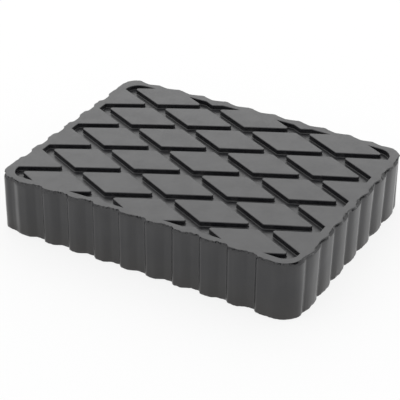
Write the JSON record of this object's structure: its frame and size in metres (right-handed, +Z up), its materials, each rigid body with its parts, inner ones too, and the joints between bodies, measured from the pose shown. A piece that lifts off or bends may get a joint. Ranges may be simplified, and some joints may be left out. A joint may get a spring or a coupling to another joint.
{
  "type": "car lift rubber pad",
  "caption": "Rectangular rubber block pad for a vehicle lift, with a diamond tread sunk into the top, fluted sides, rounded corners and a flat underside.",
  "frame": {"origin": "centre of the underside", "axes": "+X along the length, towards the right end as the picture shows it; +Y across the width, away from the viewer; +Z up, out of the tread"},
  "size_m": [0.16, 0.12, 0.03],
  "materials": {
    "rubber": "black moulded rubber, satin from the mould, with a dull sheen on the flutes"
  },
  "bodies": {
    "root": {"pad": "rubber"}
  },
  "joints": []
}
